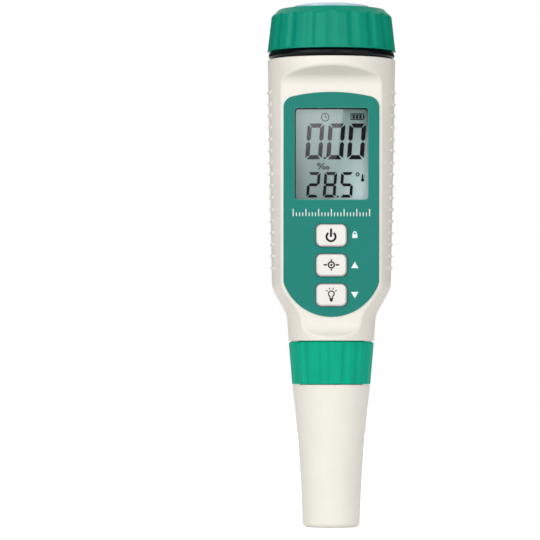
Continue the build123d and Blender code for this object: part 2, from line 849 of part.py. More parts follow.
# Battery carrier: D-shaped cradle that hangs from the cap on a swivel screw
carrier_flat_y = bay_flat_y + bay_wall + 2 * slip
pocket_z = carrier_z + carrier_floor
shelf_z = cell_z + cell_stack + bridge_room
with BuildPart() as battery_carrier:
    with BuildSketch(Plane.XY.offset(carrier_z)):
        Circle(carrier_r)
        with Locations((0, carrier_flat_y)):
            Rectangle(2 * carrier_r, carrier_r, align=(Align.CENTER, Align.MAX), mode=Mode.SUBTRACT)
    extrude(amount=carrier_top_z - carrier_z)
    with BuildSketch(Plane.XY.offset(carrier_roof_z)):
        Circle(neck_r - slip)
    extrude(amount=carrier_roof)
    with BuildSketch(Plane.XY.offset(pocket_z)):
        with Locations((-column_x, column_y), (column_x, column_y)):
            Circle(cell_r + cell_play)
            Rectangle(
                2 * (cell_r + cell_play), 2 * carrier_r, align=(Align.CENTER, Align.MAX)
            )
    extrude(amount=shelf_z - pocket_z, mode=Mode.SUBTRACT)
    with BuildSketch(Plane.XY.offset(shelf_z + carrier_shelf)):
        with Locations((0, column_y + cell_r)):
            Rectangle(
                2 * (column_x + cell_play), 2 * carrier_r, align=(Align.CENTER, Align.MAX)
            )
    extrude(amount=carrier_roof_z - shelf_z - carrier_shelf, mode=Mode.SUBTRACT)
    with BuildSketch(Plane.XY.offset(carrier_roof_z)):
        Circle(swivel_shoulder_r + slip)
    extrude(amount=carrier_roof, mode=Mode.SUBTRACT)
    with BuildSketch(Plane.XY.offset(carrier_z)):
        with Locations((-column_x, column_y), (column_x, column_y)):
            Circle(terminal_leg_r + snug)
    extrude(amount=carrier_floor, mode=Mode.SUBTRACT)
    with BuildSketch(Plane.XY.offset(cell_z + cell_stack + bridge_room - bridge_thickness)):
        with Locations((0, column_y)):
            Rectangle(column_web + 2, bridge_width + 2 * slip)
    extrude(amount=bridge_thickness, mode=Mode.SUBTRACT)
save(battery_carrier, "battery_carrier")

cell_number = 0
for x in (-column_x, column_x):
    for i in range(cells_per_column):
        cell_number += 1
        with BuildPart() as cell:
            with BuildSketch(Plane.XY.offset(cell_z + i * cell_height)):
                with Locations((x, column_y)):
                    Circle(cell_r)
            extrude(amount=cell_height)
            fillet(cell.edges().filter_by(GeomType.CIRCLE), 0.4)
        save(cell, "button_cell_" + str(cell_number))

with BuildPart() as cell_bridge:
    with BuildSketch(Plane.XY.offset(shelf_z - bridge_thickness)):
        with Locations((0, column_y)):
            SlotOverall(2 * column_x + bridge_width, bridge_width)
    extrude(amount=bridge_thickness - snug)
    with BuildSketch(Plane.XY.offset(cell_z + cell_stack)):
        with Locations((-column_x, column_y), (column_x, column_y)):
            Circle(bridge_width / 4)
    extrude(amount=bridge_room - bridge_thickness)
save(cell_bridge, "cell_bridge")

with BuildPart() as carrier_terminals:
    with BuildSketch(Plane.XY.offset(pocket_z)):
        with Locations((-column_x, column_y), (column_x, column_y)):
            Circle(terminal_r)
    extrude(amount=terminal_thickness)
    with BuildSketch(Plane.XY.offset(carrier_z - slip)):
        with Locations((-column_x, column_y), (column_x, column_y)):
            Circle(terminal_leg_r)
    extrude(amount=carrier_floor + slip)
save(carrier_terminals, "carrier_terminals")

# Battery cap: fluted grip, threaded inside, with a boss for the swivel screw
cap_roof_z = cap_top_z - cap_roof
cap_boss_z = carrier_top_z + thread_gap
cap_shelf_z = cap_top_z - cap_chamfer_height
cap_side_r = cap_rim_r - cap_taper
cap_slope = cap_taper / (cap_length - cap_chamfer_height)
cap_ridge_start = cap_ridge_z + cap_thread_pitch / 2
with BuildPart() as battery_cap:
    add(
        fluted_form(
            cap_z,
            cap_rim_r - snug,
            cap_top_z,
            cap_rim_r - cap_slope * cap_length - snug,
            cap_flute_r,
            cap_flute_depth,
            cap_flute_edge,
        )
    )
    with BuildSketch(Plane.XZ):
        with BuildLine():
            grip = FilletPolyline(
                (cap_rim_r + grip_skin, cap_z),
                (cap_side_r + grip_skin, cap_shelf_z),
                (cap_side_r - cap_chamfer_width, cap_top_z),
                (0, cap_top_z),
                radius=(cap_shoulder_curve, cap_top_curve),
            )
            Polyline(grip @ 1, (0, cap_z), grip @ 0)
        make_face()
    revolve(axis=Axis.Z, mode=Mode.INTERSECT)
    with BuildSketch(Plane.XY.offset(cap_z)):
        Circle(cap_rim_r)
    extrude(amount=cap_rim_ring)
    with BuildSketch(Plane.XY.offset(cap_z)):
        Circle(cap_bore_r)
    extrude(amount=cap_roof_z - cap_z, mode=Mode.SUBTRACT)
    with BuildSketch(Plane.XY.offset(cap_boss_z)):
        Circle(cap_boss_r)
    extrude(amount=cap_roof_z - cap_boss_z)
    with BuildSketch(Plane.XY.offset(cap_boss_z)):
        Circle(swivel_thread_r + snug)
    extrude(amount=swivel_thread_length + slip, mode=Mode.SUBTRACT)
    with BuildSketch(Plane.XY.offset(cap_top_z - dome_recess)):
        Circle(dome_r + snug)
    extrude(amount=dome_recess, mode=Mode.SUBTRACT)
    add(
        thread_ridge(
            cap_bore_r, cap_bore_r - ridge_height, cap_ridge_start, cap_thread_pitch, cap_thread_turns
        )
    )
save(battery_cap, "battery_cap")

with BuildPart() as cap_dome:
    with BuildSketch(Plane.XZ) as dome:
        with BuildLine():
            crown = ThreePointArc(
                (dome_r, cap_top_z + dome_side),
                (0, cap_top_z + dome_rise),
                (-dome_r, cap_top_z + dome_side),
            )
            Polyline(
                crown @ 1,
                (-dome_r, cap_top_z - dome_recess),
                (dome_r, cap_top_z - dome_recess),
                crown @ 0,
            )
        make_face()
        fillet(dome.vertices().group_by(Axis.Y)[-1], dome_edge)
        with Locations((0, cap_top_z)):
            Rectangle(
                2 * dome_r, 4 * dome_rise, align=(Align.MAX, Align.CENTER), mode=Mode.SUBTRACT
            )
    revolve(axis=Axis.Z)
save(cap_dome, "cap_dome")

with BuildPart() as swivel_screw:
    with BuildSketch(Plane.XY.offset(carrier_roof_z - slip - swivel_head_height)):
        Circle(swivel_head_r)
    extrude(amount=swivel_head_height)
    with BuildSketch(Plane.XY.offset(carrier_roof_z - slip)):
        Circle(swivel_shoulder_r)
    extrude(amount=cap_boss_z - carrier_roof_z + slip)
    with BuildSketch(Plane.XY.offset(cap_boss_z)):
        Circle(swivel_thread_r)
    extrude(amount=swivel_thread_length)
save(swivel_screw, "swivel_screw")

# Probe: plug, flange, boss and slotted barrel in one moulding
boss_z = plug_z - boss_height - flange_height
chamber_z = probe_tip_z + chamber_depth
probe_bore_z = chamber_z + electrode_plate
seal_groove_z = plug_z + plug_length / 2
seal_r = spigot_bore_r - snug - plug_seal_section / 2
with BuildPart() as probe_body:
    with BuildSketch(Plane.XZ):
        with BuildLine():
            Polyline(
                (0, probe_tip_z),
                (barrel_r, probe_tip_z),
                (barrel_r, boss_z - boss_cone),
                (boss_r, boss_z),
                (boss_r, flange_z),
                (flange_r, flange_z),
                (flange_r, plug_z),
                (plug_r, plug_z),
                (plug_r, plug_top_z),
                (0, plug_top_z),
                close=True,
            )
        make_face()
    revolve(axis=Axis.Z)
    with BuildSketch(Plane.XY.offset(probe_tip_z)):
        Circle(chamber_r)
    extrude(amount=chamber_depth, mode=Mode.SUBTRACT)
    with BuildSketch(Plane.XY.offset(probe_tip_z)):
        Rectangle(4 * barrel_r, chamber_slot)
    extrude(amount=chamber_depth - electrode_r, mode=Mode.SUBTRACT)
    with BuildSketch(Plane.XY.offset(probe_bore_z)):
        Circle(probe_bore_r)
    extrude(amount=plug_top_z - probe_top_plate - probe_bore_z, mode=Mode.SUBTRACT)
    with BuildSketch(Plane.XY.offset(chamber_z)):
        with Locations((0, -electrode_spread), (0, electrode_spread)):
            Circle(electrode_r + snug)
        Circle(sensor_r + snug)
    extrude(amount=electrode_plate, mode=Mode.SUBTRACT)
    with BuildSketch(Plane.XY.offset(plug_top_z - probe_top_plate)):
        with Locations(*[(x, 0) for x in contact_spots()]):
            Circle(contact_pin_r + snug)
    extrude(amount=probe_top_plate, mode=Mode.SUBTRACT)
    with BuildSketch(Plane.XZ):
        with Locations((seal_r, seal_groove_z)):
            Rectangle(plug_seal_section + slip, plug_seal_section + 2 * slip)
    revolve(axis=Axis.Z, mode=Mode.SUBTRACT)
    with BuildSketch(Plane.XY.offset(seal_groove_z + plug_seal_section)):
        with Locations((0, plug_r)):
            Rectangle(plug_key_width, 2 * plug_key_height)
    extrude(amount=plug_top_z - seal_groove_z - plug_seal_section)
save(probe_body, "probe_body")

with BuildPart() as probe_seal:
    with BuildSketch(Plane.XZ):
        with Locations((seal_r, seal_groove_z)):
            Circle(plug_seal_section / 2)
    revolve(axis=Axis.Z)
save(probe_seal, "probe_seal")

electrode_z = chamber_z - electrode_reach
electrode_top_z = probe_bore_z + 1
with BuildPart() as electrodes:
    with BuildSketch(Plane.XY.offset(electrode_z)):
        with Locations((0, -electrode_spread), (0, electrode_spread)):
            Circle(electrode_r)
    extrude(amount=electrode_top_z - electrode_z)
    fillet(electrodes.faces().group_by(Axis.Z)[0].edges(), electrode_r / 2)
save(electrodes, "electrodes")

with BuildPart() as temperature_sensor:
    with BuildSketch(Plane.XY.offset(chamber_z - sensor_reach)):
        Circle(sensor_r)
    extrude(amount=electrode_top_z - chamber_z + sensor_reach)
    fillet(temperature_sensor.faces().sort_by(Axis.Z)[0].edges(), sensor_r / 2)
save(temperature_sensor, "temperature_sensor")

contact_z = plug_top_z - probe_top_plate - 1
with BuildPart() as contact_pins:
    with BuildSketch(Plane.XY.offset(contact_z)):
        with Locations(*[(x, 0) for x in contact_spots()]):
            Circle(contact_pin_r)
    extrude(amount=plug_top_z + contact_pin_length - contact_z)
save(contact_pins, "contact_pins")

# Leads inside the probe, from the electrodes and the sensor to the pins
lead_starts = [(0, -electrode_spread), (-sensor_r / 2, 0), (sensor_r / 2, 0), (0, electrode_spread)]
with BuildPart() as probe_leads:
    for (x, y), contact_x in zip(lead_starts, contact_spots()):
        with BuildLine() as lead:
            run = Line((x, y, electrode_top_z + slip), (contact_x, 0, contact_z - slip))
        with BuildSketch(Plane(origin=run @ 0, z_dir=run % 0)):
            Circle(lead_r)
        sweep(path=lead.line)
save(probe_leads, "probe_leads")

# Collar: fluted nut that holds the probe's flange against the spigot
collar_top_z = collar_z + collar_length
with BuildPart() as probe_collar:
    add(
        fluted_form(
            collar_z,
            collar_bottom_r,
            collar_top_z,
            collar_top_r,
            collar_flute_r,
            collar_flute_depth,
            collar_flute_edge,
        )
    )
    with BuildSketch(Plane.XZ):
        with BuildLine():
            wall = FilletPolyline(
                (0, collar_z),
                (collar_bottom_r + grip_skin, collar_z),
                (collar_top_r + grip_skin, collar_top_z),
                (0, collar_top_z),
                radius=(collar_edge + grip_skin, collar_corner + grip_skin),
            )
            Line(wall @ 1, wall @ 0)
        make_face()
    revolve(axis=Axis.Z, mode=Mode.INTERSECT)
    with BuildSketch(Plane.XY.offset(collar_z)):
        Circle(collar_ring_r)
    extrude(amount=collar_floor, mode=Mode.SUBTRACT)
    with BuildSketch(Plane.XY.offset(flange_z - slip)):
        Circle(collar_bore_r)
    extrude(amount=collar_top_z - flange_z + slip, mode=Mode.SUBTRACT)
    add(
        thread_ridge(
            collar_bore_r,
            collar_bore_r - ridge_height,
            collar_ridge_z + collar_thread_pitch / 2,
            collar_thread_pitch,
            collar_thread_turns,
        )
    )
save(probe_collar, "probe_collar")

# Probe cap: flared cup with a socket that slides over the probe's boss
cup_foot_r = probe_cap_foot_r - probe_cap_wall
cup_top_r = probe_socket_r - probe_socket_step
socket_base_z = probe_cap_length - probe_socket_depth
with BuildPart() as probe_cap:
    with BuildSketch(Plane.XZ) as cup:
        with BuildLine():
            flare = ThreePointArc(
                (probe_cap_foot_r, 0),
                (probe_cap_waist_r, 0.475 * probe_cap_length),
                (probe_cap_lip_r, probe_cap_length),
            )
            Polyline(flare @ 1, (0, probe_cap_length), (0, 0), flare @ 0)
        make_face()
        fillet(cup.vertices().sort_by(Axis.X)[2:3], probe_cap_corner)
        fillet(cup.vertices().sort_by(Axis.X)[-1:], probe_cap_edge)
        with BuildLine():
            Polyline(
                (0, probe_cap_floor),
                (cup_foot_r, probe_cap_floor),
                (cup_top_r, socket_base_z),
                (probe_socket_r, socket_base_z),
                (probe_socket_r, probe_cap_length),
                (0, probe_cap_length),
                close=True,
            )
        make_face(mode=Mode.SUBTRACT)
    revolve(axis=Axis.Z)
save(probe_cap, "probe_cap")
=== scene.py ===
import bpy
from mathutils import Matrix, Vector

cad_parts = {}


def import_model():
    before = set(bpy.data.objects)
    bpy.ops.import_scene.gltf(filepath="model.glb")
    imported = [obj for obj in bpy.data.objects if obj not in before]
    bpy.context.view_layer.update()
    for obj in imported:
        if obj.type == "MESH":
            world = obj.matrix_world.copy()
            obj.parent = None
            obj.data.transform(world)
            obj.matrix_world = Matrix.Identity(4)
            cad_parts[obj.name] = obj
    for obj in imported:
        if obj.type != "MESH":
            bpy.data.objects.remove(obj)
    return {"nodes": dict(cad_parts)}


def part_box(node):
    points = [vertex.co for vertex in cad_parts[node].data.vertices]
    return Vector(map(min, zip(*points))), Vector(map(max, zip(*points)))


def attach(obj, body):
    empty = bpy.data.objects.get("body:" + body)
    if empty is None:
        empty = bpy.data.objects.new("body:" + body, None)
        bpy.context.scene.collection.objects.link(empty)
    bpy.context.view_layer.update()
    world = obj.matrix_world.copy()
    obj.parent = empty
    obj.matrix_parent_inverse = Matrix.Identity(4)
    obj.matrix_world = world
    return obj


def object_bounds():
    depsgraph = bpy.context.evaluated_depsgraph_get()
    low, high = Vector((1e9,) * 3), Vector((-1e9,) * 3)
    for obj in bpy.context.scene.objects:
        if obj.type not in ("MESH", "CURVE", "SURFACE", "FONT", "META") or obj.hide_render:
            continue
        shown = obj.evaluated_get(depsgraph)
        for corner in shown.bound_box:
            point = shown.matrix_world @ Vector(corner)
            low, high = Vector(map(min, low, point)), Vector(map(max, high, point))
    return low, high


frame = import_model()
cad_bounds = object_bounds()

import copy
import math

import bmesh
import bpy
from mathutils import Vector
from mathutils.bvhtree import BVHTree

# A pen-type digital salinity meter. Lengths are in metres, with MM for sizes given in millimetres.
MM = 0.001

# Photograph: the frame's side, the object's axis and the camera's eye level, in pixels of the photograph
PHOTO_SIDE = 540
AXIS_PX = 331.35
EYE_LEVEL_PX = 370.0

# Camera
CAMERA_DISTANCE = 1.154
EYE_HEIGHT = 46.3 * MM
LENS_MM = 260.0
SENSOR_MM = 36.0
CAMERA_ROLL = math.radians(0.07)

# Face of the housing: it leans out by this much towards the cap
FACE_TILT = math.radians(1.7)
PRINT_THICKNESS = 0.03 * MM
PRINT_LIFT = 0.012 * MM
SEGMENT_THICKNESS = 0.05 * MM

# The label's window, the painted highlight round it, and the painted shadow on the lens at its left and top,
# in millimetres
WINDOW_WIDTH = 21.6
WINDOW_HEIGHT = 26.95
WINDOW_CORNER = 0.9
WINDOW_HIGHLIGHT_LINE = 0.24
LENS_SHADOW_LINE = 0.34

# Half the size of a key's head
KEY_HALF_WIDTH = 4.53 * MM
KEY_HALF_HEIGHT = 3.315 * MM

# Where the marks beside the keys stand, from the middle, in millimetres
MARK_X = 6.88

# Strength of the background as it is seen by eye, in gloss and through glass, of the soft fill that
# the world gives the object, and of the floor's own glow where it is seen
SEEN_WHITE = 1.0
WORLD_FILL = 0.48
FLOOR_GLOW = 0.68


# Colours are picked as display values from 0 to 255 and turned into linear light
def srgb(red, green, blue):
    def linear(value):
        value = value / 255
        return value / 12.92 if value <= 0.04045 else ((value + 0.055) / 1.055) ** 2.4

    return (linear(red), linear(green), linear(blue), 1.0)


def shade(colour, factor):
    """The same colour, lighter or darker."""
    return tuple(min(1.0, part * factor) for part in colour[:3]) + (1.0,)


HOUSING_WHITE = srgb(240, 235, 225)
CAP_WHITE = srgb(243, 239, 229)
KEY_WHITE = srgb(238, 235, 229)
# Painted shade for the rounded rims of the keys' heads
KEY_RIM_SHADE = srgb(204, 195, 198)
CAP_GREEN = srgb(0, 146, 118)
COLLAR_GREEN = srgb(0, 172, 138)
LABEL_TEAL = srgb(22, 125, 113)
PRINT_WHITE = srgb(246, 250, 249)
PRINT_BLACK = srgb(14, 13, 15)
SEGMENT_INK = srgb(3, 4, 16)
PANEL_GREY = srgb(166, 184, 182)

# The green mouldings share a soft finish with a coarse grain
GREEN_FINISH = {"shine": 0.5, "IOR": 1.2, "grain": 0.3 * MM, "depth": 0.01 * MM}


# Node helpers
class Graph:
    """The node tree of a material or a world, with short calls to add and link nodes."""

    def __init__(self, owner, output="ShaderNodeOutputMaterial"):
        self.owner = owner
        self.owner.use_nodes = True
        self.tree = self.owner.node_tree
        self.tree.nodes.clear()
        self.output = self.add(output)

    def add(self, kind, **settings):
        node = self.tree.nodes.new(kind)
        for key, value in settings.items():
            setattr(node, key, value)
        return node

    def link(self, source, target):
        self.tree.links.new(source, target)

    def place(self):
        """Object coordinates, which are the row frame in metres."""
        return self.add("ShaderNodeTexCoord").outputs["Object"]

    def noise(self, size, detail=2.0, roughness=0.5, stretch=(1, 1, 1)):
        """Noise from 0 to 1 whose features are about size across."""
        mapping = self.add("ShaderNodeMapping")
        mapping.inputs["Scale"].default_value = stretch
        self.link(self.place(), mapping.inputs["Vector"])
        noise = self.add("ShaderNodeTexNoise")
        noise.inputs["Scale"].default_value = 1.0 / size
        noise.inputs["Detail"].default_value = detail
        noise.inputs["Roughness"].default_value = roughness
        self.link(mapping.outputs["Vector"], noise.inputs["Vector"])
        return noise.outputs["Fac"]

    def remap(self, value, low, high, to_low, to_high):
        """A value between low and high, brought to between to_low and to_high and kept there."""
        node = self.add("ShaderNodeMapRange")
        self.link(value, node.inputs["Value"])
        for name, number in zip(("From Min", "From Max", "To Min", "To Max"), (low, high, to_low, to_high)):
            node.inputs[name].default_value = number
        return node.outputs["Result"]

    def math(self, operation, first, second):
        """One operation on two inputs, each a number or a socket."""
        node = self.add("ShaderNodeMath", operation=operation)
        for socket, value in zip(node.inputs, (first, second)):
            if isinstance(value, (int, float)):
                socket.default_value = value
            else:
                self.link(value, socket)
        return node.outputs["Value"]

    def mix(self, factor, first, second):
        """A colour between two colours, each a value or a socket."""
        node = self.add("ShaderNodeMix", data_type="RGBA")
        for socket, value in ((node.inputs[0], factor), (node.inputs[6], first), (node.inputs[7], second)):
            if isinstance(value, (int, float, tuple)):
                socket.default_value = value
            else:
                self.link(value, socket)
        return node.outputs[2]

    def bump(self, height, depth):
        """A surface normal raised by this height, at most depth metres."""
        node = self.add("ShaderNodeBump")
        node.inputs["Distance"].default_value = depth
        self.link(height, node.inputs["Height"])
        return node.outputs["Normal"]

    def shader(self, **values):
        """A Principled shader, with numbers and colours set on its sockets and sockets linked."""
        node = self.add("ShaderNodeBsdfPrincipled")
        for key, value in values.items():
            socket = node.inputs[key.replace("_", " ")]
            if isinstance(value, (int, float, tuple)):
                socket.default_value = value
            else:
                self.link(value, socket)
        self.link(node.outputs["BSDF"], self.output.inputs["Surface"])
        return node


def moulded(name, colour, roughness, shine=0.35, grain=0.18 * MM, depth=0.006 * MM, tone=0.05, **extra):
    """Injection-moulded plastic: spark-eroded grain, slow changes of tone and rubbed patches."""
    g = Graph(bpy.data.materials.new(name))
    slow = g.noise(9 * MM, detail=3.0)
    fine = g.noise(grain, detail=2.0, roughness=0.6)
    rubbed = g.noise(2.6 * MM, detail=4.0, roughness=0.65)
    base = g.mix(g.remap(slow, 0.3, 0.7, 0.0, 1.0), shade(colour, 1 - tone), shade(colour, 1 + tone))
    base = g.mix(g.remap(fine, 0.35, 0.75, 0.0, 0.12), base, shade(colour, 1 - 2.5 * tone))
    rough = g.math("ADD", g.remap(rubbed, 0.3, 0.7, roughness - 0.05, roughness + 0.05),
                   g.remap(fine, 0.3, 0.7, -0.03, 0.03))
    normal = g.bump(fine, depth)
    g.shader(Base_Color=base, Roughness=rough, Normal=normal, Specular_IOR_Level=shine, **extra)
    return g.owner


def brushed_metal(name, colour, roughness, along=(1, 1, 0.06), grain=0.12 * MM):
    """Rolled or turned metal with fine marks along one direction and a little tarnish."""
    g = Graph(bpy.data.materials.new(name))
    marks = g.noise(grain, detail=3.0, stretch=along)
    tarnish = g.noise(2.2 * MM, detail=3.0)
    base = g.mix(g.remap(tarnish, 0.35, 0.75, 0.0, 0.4), colour, shade(colour, 0.72))
    rough = g.math("ADD", g.remap(marks, 0.3, 0.7, roughness - 0.06, roughness + 0.1),
                   g.remap(tarnish, 0.3, 0.7, -0.03, 0.06))
    g.shader(Base_Color=base, Metallic=1.0, Roughness=rough, Normal=g.bump(marks, 0.003 * MM))
    return g.owner


def seal_rubber():
    """Black O-ring rubber with bloom, a fine skin and narrow highlights."""
    g = Graph(bpy.data.materials.new("seal_rubber"))
    bloom = g.noise(1.4 * MM, detail=4.0)
    fine = g.noise(0.1 * MM, detail=2.0)
    base = g.mix(g.remap(bloom, 0.4, 0.75, 0.0, 1.0), srgb(5, 6, 8), srgb(14, 16, 19))
    rough = g.remap(bloom, 0.3, 0.7, 0.16, 0.26)
    g.shader(Base_Color=base, Roughness=rough, Normal=g.bump(fine, 0.002 * MM), Specular_IOR_Level=0.16)
    return g.owner


def soft_silicone(name, colour):
    """Silicone rubber that takes dust."""
    g = Graph(bpy.data.materials.new(name))
    dust = g.noise(0.9 * MM, detail=4.0)
    fine = g.noise(0.15 * MM, detail=2.0)
    base = g.mix(g.remap(dust, 0.35, 0.75, 0.0, 1.0), colour, shade(colour, 0.86))
    g.shader(Base_Color=base, Roughness=g.remap(dust, 0.3, 0.7, 0.5, 0.68), Normal=g.bump(fine, 0.004 * MM),
             Subsurface_Weight=0.15, Subsurface_Scale=0.5 * MM)
    return g.owner


def key_plastic(name, centre, half_width, half_height, corner=1.7 * MM):
    """Soft white moulding with painted shade on its rounded rim."""
    g = Graph(bpy.data.materials.new(name))
    fine = g.noise(0.12 * MM, detail=2.0, roughness=0.6)
    rubbed = g.noise(1.6 * MM, detail=4.0, roughness=0.65)
    split = g.add("ShaderNodeSeparateXYZ")
    g.link(g.place(), split.inputs[0])
    legs = []
    for axis, middle, half in (("X", centre.x, half_width), ("Z", centre.z, half_height)):
        away = g.math("ABSOLUTE", g.math("SUBTRACT", split.outputs[axis], middle), 0.0)
        legs.append(g.math("MAXIMUM", g.math("SUBTRACT", away, half - corner), 0.0))
    squares = g.math("ADD", g.math("POWER", legs[0], 2.0), g.math("POWER", legs[1], 2.0))
    reach = g.math("SQRT", squares, 0.0)
    # Painted shade on the rim, by distance in from the head's rounded outline
    rim_shade = g.remap(reach, corner - 0.52 * MM, corner - 0.36 * MM, 0.0, 1.0)
    base = g.mix(g.remap(fine, 0.35, 0.75, 0.0, 0.12), KEY_WHITE, shade(KEY_WHITE, 0.95))
    base = g.mix(rim_shade, base, KEY_RIM_SHADE)
    rough = g.remap(rubbed, 0.3, 0.7, 0.36, 0.46)
    g.shader(Base_Color=base, Roughness=rough, Normal=g.bump(fine, 0.006 * MM), Specular_IOR_Level=0.3)
    return g.owner


def label_film():
    """Matte printed film: a velvet grain, a slow change of tone and faint rubbed marks."""
    g = Graph(bpy.data.materials.new("label_film"))
    grain = g.noise(0.22 * MM, detail=3.0, roughness=0.7)
    slow = g.noise(14 * MM, detail=2.0)
    rubs = g.noise(0.5 * MM, detail=3.0, stretch=(0.2, 1, 1))
    base = g.mix(g.remap(slow, 0.3, 0.7, 0.0, 1.0), shade(LABEL_TEAL, 0.94), shade(LABEL_TEAL, 1.06))
    base = g.mix(g.remap(grain, 0.3, 0.7, 0.0, 0.35), base, srgb(34, 138, 125))
    rough = g.math("ADD", g.remap(grain, 0.3, 0.7, 0.44, 0.58), g.remap(rubs, 0.6, 0.8, 0.0, -0.08))
    g.shader(Base_Color=base, Roughness=rough, Normal=g.bump(grain, 0.005 * MM), Specular_IOR_Level=0.16)
    return g.owner


def clear_lens():
    """A thin clear window: glass for the eye, and open to the lamps so that the panel behind is lit."""
    g = Graph(bpy.data.materials.new("clear_lens"))
    smears = g.noise(3.5 * MM, detail=3.0, stretch=(1, 1, 0.5))
    node = g.shader(Base_Color=(1.0, 1.0, 1.0, 1.0), Transmission_Weight=1.0, IOR=1.49,
                    Roughness=g.remap(smears, 0.4, 0.8, 0.0, 0.03))
    clear = g.add("ShaderNodeBsdfTransparent")
    clear.inputs["Color"].default_value = (0.97, 0.98, 0.98, 1.0)
    path = g.add("ShaderNodeLightPath")
    blend = g.add("ShaderNodeMixShader")
    g.link(g.math("MAXIMUM", path.outputs["Is Shadow Ray"], path.outputs["Is Diffuse Ray"]), blend.inputs[0])
    g.link(node.outputs["BSDF"], blend.inputs[1])
    g.link(clear.outputs["BSDF"], blend.inputs[2])
    g.link(blend.outputs["Shader"], g.output.inputs["Surface"])
    return g.owner


def dome_resin():
    """The cap's poured dome: clear, faintly blue resin over a pale base."""
    g = Graph(bpy.data.materials.new("dome_resin"))
    waves = g.noise(4 * MM, detail=2.0)
    base = g.mix(g.remap(waves, 0.3, 0.7, 0.0, 1.0), srgb(168, 204, 222), srgb(196, 222, 236))
    g.shader(Base_Color=base, Roughness=g.remap(waves, 0.3, 0.7, 0.04, 0.1), IOR=1.5, Subsurface_Weight=0.35,
             Subsurface_Scale=1.2 * MM, Coat_Weight=0.6, Coat_Roughness=0.03)
    return g.owner


def display_panel(centre, half_width, half_height):
    """The panel's reflector: grey-green, with painted shade at its top right and a painted sheen, brightest
    at its lower right.
    """
    g = Graph(bpy.data.materials.new("display_panel"))
    split = g.add("ShaderNodeSeparateXYZ")
    g.link(g.place(), split.inputs[0])
    across = g.remap(split.outputs["X"], centre.x - half_width, centre.x + half_width, 0.0, 1.0)
    up = g.remap(split.outputs["Z"], centre.z - half_height, centre.z + half_height, 0.0, 1.0)
    grain = g.noise(0.12 * MM, detail=2.0, roughness=0.7)
    right = g.remap(across, 0.45, 1.0, 0.0, 1.0)
    low = g.remap(up, 0.8, 0.1, 0.0, 1.0)
    base = g.mix(g.remap(up, 0.0, 1.0, 0.0, 1.0), srgb(140, 158, 158), srgb(150, 170, 166))
    # Painted sheen, brightest at the lower right
    base = g.mix(g.math("MULTIPLY", right, low), base, srgb(218, 240, 243))
    # Painted shade at the top right
    base = g.mix(g.math("MULTIPLY", right, g.remap(up, 0.66, 1.0, 0.0, 0.9)), base, srgb(60, 100, 93))
    base = g.mix(g.remap(grain, 0.3, 0.7, 0.0, 0.1), base, shade(PANEL_GREY, 0.8))
    g.shader(Base_Color=base, Roughness=g.remap(grain, 0.3, 0.7, 0.35, 0.5), Specular_IOR_Level=0.15,
             Normal=g.bump(grain, 0.002 * MM))
    return g.owner


def board_laminate():
    """Solder mask over glass weave, with faint copper tracks under it."""
    g = Graph(bpy.data.materials.new("board_laminate"))
    weave = g.add("ShaderNodeTexWave", wave_type="BANDS")
    weave.inputs["Scale"].default_value = 900.0
    g.link(g.place(), weave.inputs["Vector"])
    tracks = g.add("ShaderNodeTexBrick")
    tracks.inputs["Scale"].default_value = 260.0
    tracks.inputs["Mortar Size"].default_value = 0.04
    tracks.inputs["Color1"].default_value = (0, 0, 0, 1)
    tracks.inputs["Color2"].default_value = (0, 0, 0, 1)
    tracks.inputs["Mortar"].default_value = (1, 1, 1, 1)
    g.link(g.place(), tracks.inputs["Vector"])
    base = g.mix(g.remap(weave.outputs["Fac"], 0, 1, 0, 0.3), srgb(10, 84, 48), srgb(16, 104, 62))
    base = g.mix(tracks.outputs["Color"], base, srgb(38, 140, 84))
    g.shader(Base_Color=base, Roughness=g.remap(weave.outputs["Fac"], 0, 1, 0.25, 0.35), Coat_Weight=0.3,
             Normal=g.bump(tracks.outputs["Color"], 0.01 * MM))
    return g.owner


def ink(name, colour, roughness, shine=0.2):
    """Printing ink, slightly uneven in depth and gloss."""
    g = Graph(bpy.data.materials.new(name))
    cover = g.noise(0.35 * MM, detail=3.0)
    base = g.mix(g.remap(cover, 0.35, 0.75, 0.0, 1.0), colour, shade(colour, 0.88))
    g.shader(Base_Color=base, Roughness=g.remap(cover, 0.3, 0.7, roughness - 0.06, roughness + 0.06),
             Specular_IOR_Level=shine, Normal=g.bump(cover, 0.002 * MM))
    return g.owner


# Places on the face
class Face:
    """A plane parallel to the housing's flat: x to the right, up along the flat, out towards the eye."""

    def __init__(self, node, x, z):
        self.right = Vector((1, 0, 0))
        self.up = Vector((0, -math.sin(FACE_TILT), math.cos(FACE_TILT)))
        self.out = Vector((0, -math.cos(FACE_TILT), -math.sin(FACE_TILT)))
        tree = BVHTree.FromObject(frame["nodes"][node], bpy.context.evaluated_depsgraph_get())
        start = Vector((x, -0.1, z))
        self.origin = tree.ray_cast(start, Vector((0, 1, 0)))[0]

    def moved(self, x, up):
        """The same plane with its origin moved along itself."""
        other = copy.copy(self)
        other.origin = self.origin + self.right * x + self.up * up
        return other

    def point(self, x, up, out=0.0):
        return self.origin + self.right * x + self.up * up + self.out * out


